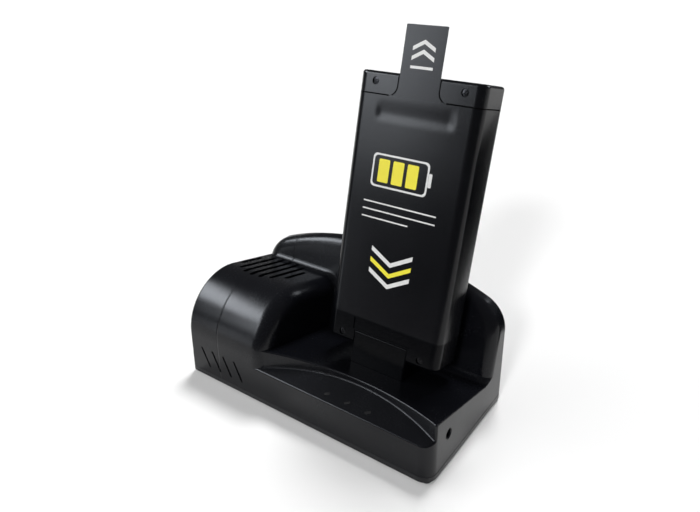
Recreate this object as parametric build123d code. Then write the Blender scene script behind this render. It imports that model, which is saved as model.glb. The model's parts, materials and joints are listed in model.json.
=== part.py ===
import os
from math import cos, radians, sin, sqrt, tan

from build123d import *

# Desktop battery charger with a leaning cradle, a fan hump on the left and a battery pack plugged in.
# Frame: X to the right, Y to the back, Z up, origin on the table under the middle of case and pack together.

# Case, millimetres and degrees
side_draft = 1.5
wall = 2.4
foot_height = 1.0
cover_height = 4.5
cover_edge_radius = 0.8
seam_gap = 0.3
lean = 12.6
riser_height = 4.216
deck_edge_radius = 0.9
riser_foot_radius = 1.2
deck_start = 1.0
apron_front_height = 27.6
apron_slope = 21.8
apron_edge_radius = 1.2
front_corner_radius = 8.6
bow_radius = 163.0
bow_depth = 18.9

# Fan hump
hump_width = 73.0
hump_radius = 38.5
hump_rise = 38.2
hump_inner_radius = 11.0
hump_outer_radius = 2.0

# Headboard behind the pack
crest_height = 95.6
crown_radius = 226.0
headboard_corner_radius = 24.0
headboard_front_radius = 8.0
headboard_back_radius = 3.0
headboard_foot_radius = 5.0
crest_flat = 0.2

# Battery pack
pack_width = 85.0
pack_thickness = 30.8
pack_length = 177.0
pack_corner_radius = 5.8
pack_side_gap = 23.5
pack_end_gap = 21.5
pack_setback = 37.9
pack_lift = 13.6
pack_back_gap = 10.2
pack_wall = 1.4
bottom_cap_height = 19.1
top_cap_height = 13.8
cap_edge_radius = 2.0
cap_roof = 2.0
cap_spigot = 3.0
spigot_wall = 1.2
spigot_clearance = 0.1
label_thickness = 0.2
dish_width = 54.0
dish_height = 14.5
dish_depth = 0.8
dish_slope = 3.6
dish_lip = 0.8
dish_corner_radius = 2.0
dish_margin = 0.5
tongue_width = 28.6
tongue_flare_radius = 6.0
label_gap = 0.5
label_groove = 0.7
tab_length = 28.0
tab_thickness = 0.4
tab_gap = 0.3
tab_corner_radius = 0.8
pack_screw_span = 60.0
top_screw_inset = 5.9
bottom_screw_inset = 4.9
pack_screw_head = 4.6
pack_screw_head_height = 0.8
pack_screw_shank = 2.2
pack_screw_length = 6.0
pack_screw_sink = 1.0
pack_boss = 6.4
pack_boss_length = 9.0
keyway_panel_width = 44.0
keyway_panel_height = 8.0
keyway_panel_depth = 0.8
keyway_panel_gap = 1.0
cell_columns = 3
cell_tiers = 2
cell_gap = 0.1
cell_clearance = 0.5
cell_headroom = 2.4
spacer_thickness = 1.0
spacer_clearance = 0.3
strip_thickness = 0.3
strip_width = 8.0
pack_board_thickness = 1.2
socket_width = 36.0
socket_depth = 9.0
socket_hole_depth = 7.0

# Contact tower in the cradle
tower_width = 40.6
tower_depth = 24.0
tower_height = 22.4
tower_wall = 2.0
tower_edge_radius = 0.8
tower_flange = 4.0
tower_clearance = 0.3
blade_count = 5
blade_pitch = 6.6
blade_thickness = 0.8
blade_width = 5.0
blade_reach = 6.0
blade_setback = 5.0
blade_clearance = 0.4

# Cooling fan
fan_inset = 28.4
fan_back = 17.6
fan_size = 45.0
fan_height = 15.0
fan_bore = 43.0
fan_hole_pitch = 37.0
fan_drop = 2.0
fan_corner_radius = 3.0
fan_hub = 20.0
fan_hub_wall = 1.2
fan_tip_gap = 0.8
fan_blades = 7
fan_blade_thickness = 1.0
fan_root_chord = 12.0
fan_tip_chord = 15.0
fan_root_pitch = 50.0
fan_tip_pitch = 32.0
fan_base = 2.0
fan_strut_width = 3.6
fan_struts = 4
fan_shaft = 3.0
fan_bush_diameter = 6.0
fan_stator_diameter = 15.0
fan_stator_height = 6.0
fan_pad = 6.0
fan_screw_bite = 2.8
running_clearance = 0.05
running_gap = 0.6

# Vents
vent_count = 7
vent_width = 3.4
vent_radius = 25.0
vent_span_share = 0.88
vent_wall_gap = 1.5
slit_count = 4
slit_pitch = 10.7
slit_width = 1.7
slit_length = 17.0
slit_slant = 25.0
slit_inset = 15.5
slit_height = 17.6

# Inlet, lamps and board
jack_setback = 22.6
jack_height = 25.1
jack_hole = 6.6
jack_chamfer = 0.6
jack_body_width = 9.0
jack_body_height = 11.0
jack_body_length = 13.5
jack_socket = 5.7
jack_depth = 9.5
jack_pin = 2.0
jack_pin_recess = 1.0
tip_share = 0.6
lamp_count = 3
lamp_pitch = 15.8
lamp_setback = 5.3
lamp_length = 4.2
lamp_width = 1.7
lamp_slant = 30.0
lamp_proud = 0.2
lamp_clearance = 0.1
lamp_chip = 2.0
lamp_chip_height = 1.0
board_thickness = 1.6
board_margin = 1.2
board_gap = 4.0
board_post_inset = 10.0
post_diameter = 6.0
component_clearance = 0.3

# Board parts, with their places as shares of the board from its front left corner
choke_diameter = 22.0
choke_bore = 10.0
choke_height = 8.0
choke_chamfer = 1.5
choke_shares = (0.16, 0.40)
can_diameter = 10.0
can_height = 12.0
can_groove = 0.6
can_groove_height = 2.0
can_shares = ((0.24, 0.23), (0.35, 0.23))
chip_size = 10.0
chip_height = 1.5
chip_shares = ((0.81, 0.38), (0.53, 0.79))

# Heat sink and load resistors under the hump
sink_length = 66.0
sink_width = 54.0
sink_plate = 3.0
sink_fin_height = 16.0
sink_fin_thickness = 1.6
sink_fins = 9
sink_setback = 10.0
resistor_length = 48.0
resistor_width = 13.0
resistor_height = 8.0
resistor_pitch = 24.0

# Fasteners and feet
boss_diameter = 7.0
boss_bed = 1.0
boss_height = 18.0
screw_shank = 3.0
screw_head = 5.6
screw_head_height = 2.0
screw_sink = 0.6
screw_bite = 8.0
small_screw_shank = 2.5
small_screw_head = 4.6
small_screw_head_height = 1.6
small_screw_bite = 5.0
screw_clearance = 0.1
foot_diameter = 12.0
foot_recess = 0.8
foot_inset = 18.0
lip_height = 3.0
lip_thickness = 1.4
lip_clearance = 0.25
corner_least = 0.5
overrun = 2.0
cove_bite = 0.02
edge_shares = (0, 0.25, 0.5, 0.75, 1)
middle_share = 0.5

# Places that follow from the sizes above
lean_tan = tan(radians(lean))
lean_cos = cos(radians(lean))
lean_sin = sin(radians(lean))
draft_tan = tan(radians(side_draft))
pack_heel = (pack_thickness - cap_edge_radius) * lean_cos
pack_tip = (pack_lift + pack_length - cap_edge_radius) * lean_sin
apron_rise = bow_depth * tan(radians(apron_slope))
deck_front_height = apron_front_height + apron_rise + riser_height + bow_depth * lean_tan
wall_back = pack_thickness + pack_back_gap
headboard_turn = headboard_front_radius * tan(radians((90 - lean) / 2))
headboard_top = headboard_turn + crest_flat + headboard_back_radius
deck_seat = deck_front_height - pack_setback * lean_tan
crest_setback = pack_setback + wall_back / lean_cos + (crest_height - deck_seat) * lean_tan
case_width = hump_width + pack_side_gap + pack_width + pack_end_gap
case_depth = crest_setback + headboard_top
overall_depth = max(case_depth, pack_setback + pack_heel + pack_tip + cap_edge_radius)
left = -case_width / 2
right = case_width / 2
front = -overall_depth / 2
back = front + case_depth
underside = foot_height
rim = underside + cover_height
crest = underside + crest_height
hump_right = left + hump_width
heel_setback = case_depth - wall - headboard_back_radius
boss_inset = wall + boss_diameter / 2 - boss_bed
boss_top = rim + boss_height
pack_x = right - pack_end_gap - pack_width / 2
fan_u = left + fan_inset - pack_x
fan_top = hump_rise - wall - fan_drop
fan_low = fan_top - fan_height
rotor_low = fan_low + fan_base + running_gap
rotor_top = fan_top - running_gap
board_top = underside + jack_height - jack_body_height / 2
board_under = board_top - board_thickness
board_left = hump_right + board_gap
board_right = right - wall - board_margin - (board_top - underside) * draft_tan
board_front = front + wall + board_margin
board_back = back - wall - board_margin
keyway_height = tower_height + tower_clearance - pack_lift
top_seam = pack_length - top_cap_height
spigot_inset = label_thickness + pack_wall + spigot_clearance
cap_hollow = spigot_inset + spigot_wall
pack_board_low = bottom_cap_height + cap_spigot + seam_gap
stack_low = pack_board_low + pack_board_thickness
stack_top = top_seam - cap_spigot - cell_headroom
stack_fill = (cell_tiers + 1) * spacer_thickness + 2 * cell_tiers * strip_thickness
cell_length = (stack_top - stack_low - stack_fill) / cell_tiers
cell_pitch = pack_thickness - 2 * (label_thickness + pack_wall + cell_clearance)
cell_diameter = cell_pitch - cell_gap
tier_pitch = spacer_thickness + 2 * strip_thickness + cell_length
sink_x = left + hump_width / 2
sink_front = front + sink_setback
sink_under = underside + wall + component_clearance + resistor_height
sink_fin_pitch = (sink_width - sink_fin_thickness) / (sink_fins - 1)
sink_hole_inset = (sink_fin_pitch + sink_fin_thickness) / 2


def deck_level(setback, inset):
    return underside + deck_front_height - setback * lean_tan - inset / lean_cos


def apron_level(setback, inset):
    slope = radians(apron_slope)
    return underside + apron_front_height + setback * tan(slope) - inset / cos(slope)


def hump_level(setback, inset):
    return deck_level(setback, inset) + hump_rise / lean_cos


def side_at(level):
    return right - (level - underside) * draft_tan


# Cradle frame: its origin is where the pack's front meets the deck, Y runs back along the deck, Z up the pack
cradle = Plane(
    origin=(pack_x, front + pack_setback, deck_level(pack_setback, 0)),
    x_dir=(1, 0, 0),
    z_dir=(0, lean_sin, lean_cos),
)
# Pack frame: the same axes, with the origin at the foot of the pack's front face
pack_seat = cradle.location * Pos(0, 0, pack_lift)
# Outlines on the pack's front face are drawn across and downward on this plane, which looks into the pack
pack_face = Plane(origin=(0, 0, 0), x_dir=(1, 0, 0), z_dir=(0, 1, 0))


def block(x_from, x_to, y_from, y_to, z_from, z_to):
    size = Box(x_to - x_from, y_to - y_from, z_to - z_from, align=(Align.MIN, Align.MIN, Align.MIN))
    return Pos(x_from, y_from, z_from) * size


def post(x, y, z_from, z_to, diameter):
    rod = Cylinder(diameter / 2, z_to - z_from, align=(Align.CENTER, Align.CENTER, Align.MIN))
    return Pos(x, y, z_from) * rod


def side_extrude(outline, x_from, x_to):
    return extrude(Plane.YZ.offset(x_from) * make_face(outline), amount=x_to - x_from)


def corner_places(x_inset, y_inset):
    return [(x, y) for x in (left + x_inset, right - x_inset) for y in (front + y_inset, back - y_inset)]


def spread(count, pitch):
    return [(index - (count - 1) / 2) * pitch for index in range(count)]


def group(solids):
    return Compound(children=[solid for item in solids for solid in item.solids()])


boss_places = corner_places(boss_inset, boss_inset)
foot_places = corner_places(foot_inset, foot_inset)


# Case form, drawn once for the outside and once, inset by the wall, for the hollow
def end_outline(inset, low, high):
    foot = case_width / 2 - inset
    low_half = foot - (low - underside) * draft_tan
    high_half = foot - (high - underside) * draft_tan
    return make_face(
        Polyline((-low_half, low), (low_half, low), (high_half, high), (-high_half, high), close=True)
    )


def end_taper(inset, low, high):
    return extrude(Plane.XZ * end_outline(inset, low, high), amount=overall_depth, both=True)


def base_form(inset, low):
    start = hump_right - hump_inner_radius - wall
    apron_end = bow_depth + wall + inset
    deck_begin = deck_start + inset
    far = heel_setback - inset
    apron = Polyline(
        (front + inset, low),
        (front + inset, apron_level(inset, inset)),
        (front + apron_end, apron_level(apron_end, inset)),
        (front + apron_end, low),
        close=True,
    )
    deck = Polyline(
        (front + deck_begin, low),
        (front + deck_begin, deck_level(deck_begin, inset)),
        (front + far, deck_level(far, inset)),
        (front + far, low),
        close=True,
    )
    bow = post(pack_x, front + bow_depth - bow_radius, low - overrun, crest, 2 * (bow_radius + inset))
    body = side_extrude(apron, start, right) + (side_extrude(deck, start, right) - bow)
    body = body & end_taper(inset, low - overrun, crest)
    corner = body.edges().filter_by(lambda e: e.center().Y < front + inset + seam_gap)
    corner = corner.filter_by(lambda e: e.center().X > hump_right)
    corner = corner.filter_by(lambda e: abs(e.tangent_at(0.5).Z) > lean_cos)
    body = fillet(corner, front_corner_radius - inset)
    if inset:
        return body
    return round_base_edges(body)


# The riser's foot is rounded inward, the apron's front edge and the deck's rim outward
def round_base_edges(body):
    def apron_gap(point):
        return abs(point.Z - apron_level(point.Y - front, 0))

    def deck_gap(point):
        return abs(point.Z - deck_level(point.Y - front, 0))

    def along(solid, gap):
        near = solid.edges().filter_by(lambda e: max(gap(e @ share) for share in edge_shares) < seam_gap / 2)
        near = near.filter_by(lambda e: e.center().X > hump_right)
        return near.filter_by(lambda e: e.center().Y < front + heel_setback - overrun)

    foot = along(body, apron_gap).filter_by(lambda e: (e @ middle_share).Y > front + bow_depth / 2)
    body = fillet(foot, riser_foot_radius)
    lip = along(body, apron_gap).filter_by(lambda e: (e @ middle_share).Y < front + bow_depth / 2)
    body = fillet(lip, apron_edge_radius)
    return fillet(along(body, deck_gap), deck_edge_radius)


def hump_form(inset, low):
    centre_y = hump_radius
    centre_z = hump_level(centre_y, 0) - hump_radius / lean_cos
    radius = hump_radius - inset
    crown = (front + centre_y + radius * lean_sin, centre_z + radius * lean_cos)
    turn = radians((90 + lean) / 2)
    middle = (front + centre_y - radius * cos(turn), centre_z + radius * sin(turn))
    far = heel_setback - inset
    face_start = Line((front + inset, low), (front + inset, centre_z))
    nose = ThreePointArc((front + inset, centre_z), middle, crown)
    roof = Line(crown, (front + far, hump_level(far, inset)))
    heel = Line((front + far, hump_level(far, inset)), (front + far, low))
    floor = Line((front + far, low), (front + inset, low))
    body = side_extrude([face_start, nose, roof, heel, floor], left, hump_right - inset)
    body = body & end_taper(inset, low - overrun, crest)

    def shown(solid):
        upper = solid.edges().filter_by(lambda e: e.center().Z > low + seam_gap)
        return upper.filter_by(lambda e: e.center().Y < front + far - seam_gap)

    inner = shown(body).filter_by(lambda e: e.center().X > hump_right - inset - seam_gap)
    body = fillet(inner, hump_inner_radius - inset)
    outer = shown(body).filter_by(lambda e: e.center().X < left + inset + wall)
    return fillet(outer, max(hump_outer_radius - inset, corner_least))


def headboard_prism(inset, low):
    crown = Pos(0, crest - crown_radius) * Circle(crown_radius - inset)
    outline = end_outline(inset, low, crest + overrun) & crown
    shoulders = outline.vertices().sort_by(Axis.Y)[-2:]
    outline = fillet(shoulders, headboard_corner_radius - inset)
    depth = case_depth - pack_setback - inset
    return extrude(Plane.XZ.offset(-(back - inset)) * outline, amount=depth)


def headboard_form(inset, low):
    body = headboard_prism(inset, low)
    reach = case_width
    behind = Box(2 * reach, reach, 2 * reach, align=(Align.CENTER, Align.MIN, Align.CENTER))
    body = body & (cradle.location * Pos(-pack_x, wall_back + inset, 0) * behind)
    if not inset:
        upper = body.edges().filter_by(lambda e: e.center().Z > rim + seam_gap)
        hind = upper.filter_by(lambda e: e.center().Y > back - seam_gap)
        body = fillet(hind, headboard_back_radius)
    upper = body.edges().filter_by(lambda e: e.center().Z > rim + seam_gap)
    face_at = wall_back + inset
    face = upper.filter_by(lambda e: abs(cradle.to_local_coords(e.center()).Y - face_at) < seam_gap)
    return fillet(face, headboard_front_radius - inset)


def case_form(inset, low):
    return base_form(inset, low) + hump_form(inset, low) + headboard_form(inset, low)


# Hollow edge of one radius where the deck and the hump meet the headboard, in the cradle frame
def cove_outline(start):
    radius = headboard_foot_radius
    size = radius + overrun
    square = Pos(-overrun, -overrun) * Rectangle(size, size, align=(Align.MIN, Align.MIN))
    return start * (square - Pos(radius, radius) * Circle(radius + cove_bite))


def headboard_coves():
    radius = headboard_foot_radius
    inner = hump_right - pack_x
    corner = inner - hump_inner_radius
    turn_up = hump_rise - hump_inner_radius
    edge_round = headboard_front_radius
    end = side_at(cradle.origin.Z) - pack_x - edge_round
    on_deck = cove_outline(Plane(origin=(end, wall_back, 0), x_dir=(0, -1, 0), z_dir=(-1, 0, 0)))
    on_side = cove_outline(Plane(origin=(inner, wall_back, turn_up), x_dir=(1, 0, 0), z_dir=(0, 0, -1)))
    on_top = cove_outline(Plane(origin=(corner, wall_back, hump_rise), x_dir=(0, -1, 0), z_dir=(-1, 0, 0)))
    deck_run = extrude(on_deck, amount=end - inner + overrun)
    deck_end = revolve(on_deck, Axis((end, wall_back + edge_round, 0), (0, 0, 1)), revolution_arc=90)
    side_run = extrude(on_side, amount=turn_up + overrun)
    hump_turn = revolve(on_side, Axis((corner, 0, turn_up), (0, -1, 0)), revolution_arc=90)
    hump_run = extrude(on_top, amount=hump_width)
    inside = end_taper(0, underside, crest)
    within_rim = headboard_prism(edge_round, rim)
    place = cradle.location
    return [
        place * (deck_run + side_run + hump_turn),
        place * deck_end & inside,
        place * hump_run & within_rim,
    ]


def vent_cuts():
    cuts = []
    half_span = vent_radius * vent_span_share
    for offset in spread(vent_count, 2 * half_span / (vent_count - 1)):
        reach = sqrt(vent_radius**2 - offset**2)
        near = fan_back - reach
        far = min(fan_back + reach, wall_back - vent_wall_gap)
        slot = Rot(0, 0, 90) * SlotOverall(far - near, vent_width)
        cut = extrude(slot, amount=wall + 2 * overrun)
        place = Pos(fan_u + offset, (near + far) / 2, hump_rise - wall - overrun)
        cuts.append(cradle.location * place * cut)
    return cuts


def slit_cuts():
    cuts = []
    for index in range(slit_count):
        x = left + slit_inset + index * slit_pitch
        turn = slit_slant - 90
        slot = Pos(x, underside + slit_height) * Rot(0, 0, turn) * SlotOverall(slit_length, slit_width)
        cuts.append(extrude(Plane.XZ.offset(-front + overrun) * slot, amount=-(wall + 2 * overrun)))
    return cuts


def jack_axis(x):
    return Plane(
        origin=(x, front + jack_setback, underside + jack_height), x_dir=(0, 1, 0), z_dir=(1, 0, 0)
    ).location


def jack_cut():
    hole_start = right - 2 * wall - overrun
    face = side_at(underside + jack_height)
    low = (Align.CENTER, Align.CENTER, Align.MIN)
    hole = jack_axis(hole_start) * Cylinder(jack_hole / 2, right - hole_start + overrun, align=low)
    flare = Cone(jack_hole / 2, jack_hole / 2 + 2 * jack_chamfer, 2 * jack_chamfer, align=low)
    return hole + jack_axis(face - jack_chamfer) * flare


def lamp_prisms(z_from, z_to, margin):
    slot = Rot(0, 0, lamp_slant) * SlotOverall(lamp_length + 2 * margin, lamp_width + 2 * margin)
    return [
        Pos(pack_x + offset, front + lamp_setback, z_from) * extrude(slot, amount=z_to - z_from)
        for offset in spread(lamp_count, lamp_pitch)
    ]


def fan_holes():
    steps = spread(2, fan_hole_pitch)
    return [(fan_u + across, fan_back + along) for across in steps for along in steps]


def upper_housing():
    bosses = [post(x, y, rim - overrun, boss_top, boss_diameter) for x, y in boss_places]
    pads = [cradle.location * post(u, n, fan_top, hump_rise, fan_pad) for u, n in fan_holes()]
    hollow = case_form(wall, rim - overrun) - bosses - pads
    body = case_form(0, rim) + headboard_coves() - hollow
    pilot = screw_shank + screw_clearance
    pilots = [post(x, y, rim - overrun, rim + screw_bite + overrun, pilot) for x, y in boss_places]
    pilot = small_screw_shank + screw_clearance
    pad_end = fan_top + fan_screw_bite
    pad_pilots = [cradle.location * post(u, n, fan_top - overrun, pad_end, pilot) for u, n in fan_holes()]
    gap = tower_clearance
    mouth = cradle.location * block(
        -tower_width / 2 - gap, tower_width / 2 + gap, -gap, tower_depth + gap, -wall - overrun, overrun
    )
    apron = apron_level(lamp_setback, 0)
    windows = lamp_prisms(apron - 2 * wall, apron + overrun, lamp_clearance)
    body = body - vent_cuts() - slit_cuts()
    return body - jack_cut() - windows - mouth - pilots - pad_pilots


def case_plan(inset):
    plan = Pos(0, (front + back) / 2) * Rectangle(case_width - 2 * inset, case_depth - 2 * inset)
    rounding = (
        (right, front, front_corner_radius),
        (left, front, hump_outer_radius),
        (left, back, headboard_back_radius),
        (right, back, headboard_back_radius),
    )
    for x, y, radius in rounding:
        corner = plan.vertices().sort_by_distance(Vertex(x, y, 0))[0]
        plan = fillet(corner, max(radius - inset, corner_least))
    return plan


def board_posts():
    xs = (board_left + board_post_inset, board_right - board_post_inset)
    ys = (board_front + board_post_inset, board_back - board_post_inset)
    return [(x, y) for x in xs for y in ys]


def sink_posts():
    reach = sink_width / 2 - sink_hole_inset
    ys = (sink_front + sink_hole_inset, sink_front + sink_length - sink_hole_inset)
    return [(x, y) for x in (sink_x - reach, sink_x + reach) for y in ys]


def bottom_cover():
    floor = underside + wall
    edge = rim - seam_gap
    body = Pos(0, 0, underside) * extrude(case_plan(0), amount=edge - underside)
    body = fillet(body.edges().group_by(Axis.Z)[0], cover_edge_radius)
    body = body - Pos(0, 0, floor) * extrude(case_plan(wall), amount=edge)
    lip_inset = wall + lip_clearance
    lip_rise = rim + lip_height - floor
    lip = extrude(case_plan(lip_inset), amount=lip_rise)
    lip = lip - extrude(case_plan(lip_inset + lip_thickness), amount=lip_rise)
    lip = Pos(0, 0, floor) * lip
    room = boss_diameter + 2 * lip_clearance
    lip = lip - [post(x, y, edge, rim + lip_height + overrun, room) for x, y in boss_places]
    stubs = [post(x, y, underside, edge, boss_diameter) for x, y in boss_places]
    stands = [post(x, y, underside, board_under, post_diameter) for x, y in board_posts()]
    stands = stands + [post(x, y, underside, sink_under, post_diameter) for x, y in sink_posts()]
    body = body + lip + stubs + stands
    sink_top = underside + screw_sink + screw_head_height
    wide = screw_head + 2 * screw_clearance
    narrow = screw_shank + 2 * screw_clearance
    bores = [post(x, y, underside - overrun, sink_top, wide) for x, y in boss_places]
    bores = bores + [post(x, y, underside - overrun, rim, narrow) for x, y in boss_places]
    pilot = small_screw_shank + screw_clearance
    depth = small_screw_bite + overrun
    bores = bores + [post(x, y, board_under - depth, board_under + overrun, pilot) for x, y in board_posts()]
    bores = bores + [post(x, y, sink_under - depth, sink_under + overrun, pilot) for x, y in sink_posts()]
    recess = underside + foot_recess
    seats = [post(x, y, underside - overrun, recess, foot_diameter) for x, y in foot_places]
    return body - bores - seats


def rubber_feet():
    return group([post(x, y, 0, underside + foot_recess, foot_diameter) for x, y in foot_places])


def case_screws():
    screws = []
    head_low = underside + screw_sink
    for x, y in boss_places:
        head = post(x, y, head_low, head_low + screw_head_height, screw_head)
        shank = post(x, y, head_low, rim + screw_bite, screw_shank)
        screws.append(head + shank)
    return group(screws)


def small_screw(x, y, seat, grip):
    head = post(x, y, seat, seat + small_screw_head_height, small_screw_head)
    shank = post(x, y, seat - grip - small_screw_bite, seat, small_screw_shank)
    return head + shank


def small_hole(x, y, seat, grip):
    return post(x, y, seat - grip - overrun, seat + overrun, small_screw_shank + screw_clearance)


def board_screws():
    return group([small_screw(x, y, board_top, board_thickness) for x, y in board_posts()])


def heat_sink_screws():
    return group([small_screw(x, y, sink_under + sink_plate, sink_plate) for x, y in sink_posts()])


# Main board and what stands on it
def on_board(shares):
    x = board_left + shares[0] * (board_right - board_left)
    y = board_front + shares[1] * (board_back - board_front)
    return Pos(x, y, board_top)


def main_board():
    body = block(board_left, board_right, board_front, board_back, board_under, board_top)
    room = boss_diameter + 2 * board_margin
    notches = [post(x, y, board_under - overrun, board_top + overrun, room) for x, y in boss_places]
    holes = [small_hole(x, y, board_top, board_thickness) for x, y in board_posts()]
    return body - notches - holes


def dc_jack():
    face = side_at(underside + jack_height) - wall - component_clearance
    body = block(
        face - jack_body_length,
        face,
        front + jack_setback - jack_body_width / 2,
        front + jack_setback + jack_body_width / 2,
        board_top,
        board_top + jack_body_height,
    )
    low = (Align.CENTER, Align.CENTER, Align.MIN)
    return body - jack_axis(face - jack_depth) * Cylinder(jack_socket / 2, jack_depth + overrun, align=low)


def dc_jack_pin():
    face = side_at(underside + jack_height) - wall - component_clearance
    low = (Align.CENTER, Align.CENTER, Align.MIN)
    pin = Cylinder(jack_pin / 2, jack_depth - jack_pin_recess, align=low)
    pin = chamfer(pin.edges().group_by(Axis.Z)[-1], jack_pin / 2 * tip_share)
    return jack_axis(face - jack_depth) * pin


def choke():
    ring = post(0, 0, 0, choke_height, choke_diameter)
    ring = ring - post(0, 0, -overrun, choke_height + overrun, choke_bore)
    return on_board(choke_shares) * chamfer(ring.edges().filter_by(GeomType.CIRCLE), choke_chamfer)


def capacitors():
    cans = []
    for shares in can_shares:
        can = post(0, 0, 0, can_height, can_diameter)
        can = chamfer(can.edges().group_by(Axis.Z)[-1], can_groove)
        groove_top = can_groove_height + 2 * can_groove
        band = post(0, 0, can_groove_height, groove_top, can_diameter + overrun)
        neck = post(0, 0, can_groove_height, groove_top, can_diameter - 2 * can_groove)
        cans.append(on_board(shares) * (can - (band - neck)))
    return group(cans)


def controller_chips():
    half = chip_size / 2
    chip = block(-half, half, -half, half, 0, chip_height)
    return group([on_board(shares) * chip for shares in chip_shares])


def lamp_chips():
    half = lamp_chip / 2
    chips = []
    for offset in spread(lamp_count, lamp_pitch):
        chip = block(-half, half, -half, half, 0, lamp_chip_height)
        chips.append(Pos(pack_x + offset, front + lamp_setback, board_top) * chip)
    return group(chips)


def light_pipes():
    low = board_top + lamp_chip_height + component_clearance
    reach = lamp_setback + lamp_length
    under_apron = Polyline(
        (front - overrun, low - overrun),
        (front - overrun, apron_level(-overrun, -lamp_proud)),
        (front + reach, apron_level(reach, -lamp_proud)),
        (front + reach, low - overrun),
        close=True,
    )
    keep = side_extrude(under_apron, left, right)
    return group([prism & keep for prism in lamp_prisms(low, apron_level(reach, 0) + overrun, 0)])


# Contact tower that the pack drops over
def blade_slots(margin, z_from, z_to):
    half = blade_thickness / 2 + margin
    near = blade_setback - margin
    far = blade_setback + blade_width + margin
    return [block(u - half, u + half, near, far, z_from, z_to) for u in spread(blade_count, blade_pitch)]


def above_board():
    return block(left, right, front, back, board_top, crest)


def contact_tower():
    half = tower_width / 2
    deep = deck_front_height
    body = block(-half, half, 0, tower_depth, -deep, tower_height)
    shown = body.edges().filter_by(lambda e: e.center().Z > tower_height - seam_gap)
    upright = body.edges().filter_by(Axis.Z)
    body = fillet(shown + upright, tower_edge_radius)
    seat = -wall - tower_wall
    flange = block(
        -half - tower_flange, half + tower_flange, -tower_flange, tower_depth + tower_flange, seat, -wall
    )
    inside = half - tower_wall
    roof = tower_height - tower_wall
    core = block(-inside, inside, tower_wall, tower_depth - tower_wall, -deep - overrun, roof)
    body = body + flange - core - blade_slots(0, -overrun, tower_height + overrun)
    return cradle.location * body & above_board()


def contact_blades():
    top = tower_height + blade_reach
    blades = blade_slots(0, -deck_front_height, top)
    return group([cradle.location * blade & above_board() for blade in blades])


# Heat sink and load resistors that the fan cools
def heat_sink():
    near = sink_x - sink_width / 2
    far = sink_front + sink_length
    top = sink_under + sink_plate
    body = block(near, near + sink_width, sink_front, far, sink_under, top)
    fins = []
    for index in range(sink_fins):
        x = near + index * sink_fin_pitch
        fins.append(block(x, x + sink_fin_thickness, sink_front, far, top, top + sink_fin_height))
    holes = [small_hole(x, y, top, sink_plate) for x, y in sink_posts()]
    room = small_screw_head + 2 * screw_clearance
    rooms = [post(x, y, top, top + sink_fin_height + overrun, room) for x, y in sink_posts()]
    return body + fins - holes - rooms


def load_resistors():
    half_width = resistor_width / 2
    middle = sink_front + sink_length / 2
    near = middle - resistor_length / 2
    low = sink_under - resistor_height
    return group(
        [
            block(x - half_width, x + half_width, near, near + resistor_length, low, sink_under)
            for x in (sink_x + offset for offset in spread(2, resistor_pitch))
        ]
    )


# Cooling fan under the grille, on the cradle frame
fan_seat = cradle.location * Pos(fan_u, fan_back, 0)


def fan_frame():
    outline = RectangleRounded(fan_size, fan_size, fan_corner_radius)
    body = Pos(0, 0, fan_low) * extrude(outline, amount=fan_height)
    body = body - post(0, 0, fan_low - overrun, fan_top + overrun, fan_bore)
    hub = post(0, 0, fan_low, fan_low + fan_base, fan_hub)
    half = fan_strut_width / 2
    reach = (fan_bore + fan_size) / 2 / 2
    turns = [360 / fan_struts * index for index in range(fan_struts)]
    struts = [Rot(0, 0, turn) * block(0, reach, -half, half, fan_low, fan_low + fan_base) for turn in turns]
    steps = spread(2, fan_hole_pitch)
    hole = small_screw_shank + screw_clearance
    holes = [post(x, y, fan_low - overrun, fan_top + overrun, hole) for x in steps for y in steps]
    bore = post(0, 0, fan_low - overrun, fan_low + fan_base + overrun, fan_bush_diameter)
    return fan_seat * (body + hub + struts - holes - bore)


def fan_bush():
    high = rotor_top - fan_hub_wall - running_gap
    body = post(0, 0, fan_low, high, fan_bush_diameter)
    bore = fan_shaft + 2 * running_clearance
    return fan_seat * (body - post(0, 0, fan_low + fan_base / 2, high + overrun, bore))


def fan_stator():
    low = fan_low + fan_base
    body = post(0, 0, low, low + fan_stator_height, fan_stator_diameter)
    return fan_seat * (body - post(0, 0, low - overrun, low + fan_stator_height + overrun, fan_bush_diameter))


def fan_blade():
    root = fan_hub / 2 - fan_hub_wall / 2
    tip = fan_bore / 2 + overrun
    middle = (rotor_low + rotor_top) / 2

    def section(radius, chord, pitch):
        plane = Plane(origin=(radius, 0, middle), x_dir=(0, 1, 0), z_dir=(1, 0, 0))
        return plane * Rot(0, 0, pitch) * Rectangle(chord, fan_blade_thickness)

    blade = loft([section(root, fan_root_chord, fan_root_pitch), section(tip, fan_tip_chord, fan_tip_pitch)])
    sweep_limit = post(0, 0, rotor_low, rotor_top, fan_bore - 2 * fan_tip_gap)
    return blade & sweep_limit


def fan_rotor():
    cup = post(0, 0, rotor_low, rotor_top, fan_hub)
    room = fan_hub - 2 * fan_hub_wall
    cup = cup - post(0, 0, rotor_low - overrun, rotor_top - fan_hub_wall, room)
    shaft = post(0, 0, fan_low + fan_base / 2 + running_gap, rotor_top, fan_shaft)
    blade = fan_blade()
    blades = [Rot(0, 0, 360 / fan_blades * index) * blade for index in range(fan_blades)]
    core = post(0, 0, rotor_low, rotor_top - fan_hub_wall, room)
    blades = [item - core for item in blades]
    return fan_seat * (cup + shaft + blades)


def fan_screws():
    screws = []
    for u, n in fan_holes():
        head = post(u, n, fan_low - small_screw_head_height, fan_low, small_screw_head)
        shank = post(u, n, fan_low, fan_top + fan_screw_bite, small_screw_shank)
        screws.append(cradle.location * (head + shank))
    return group(screws)


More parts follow.
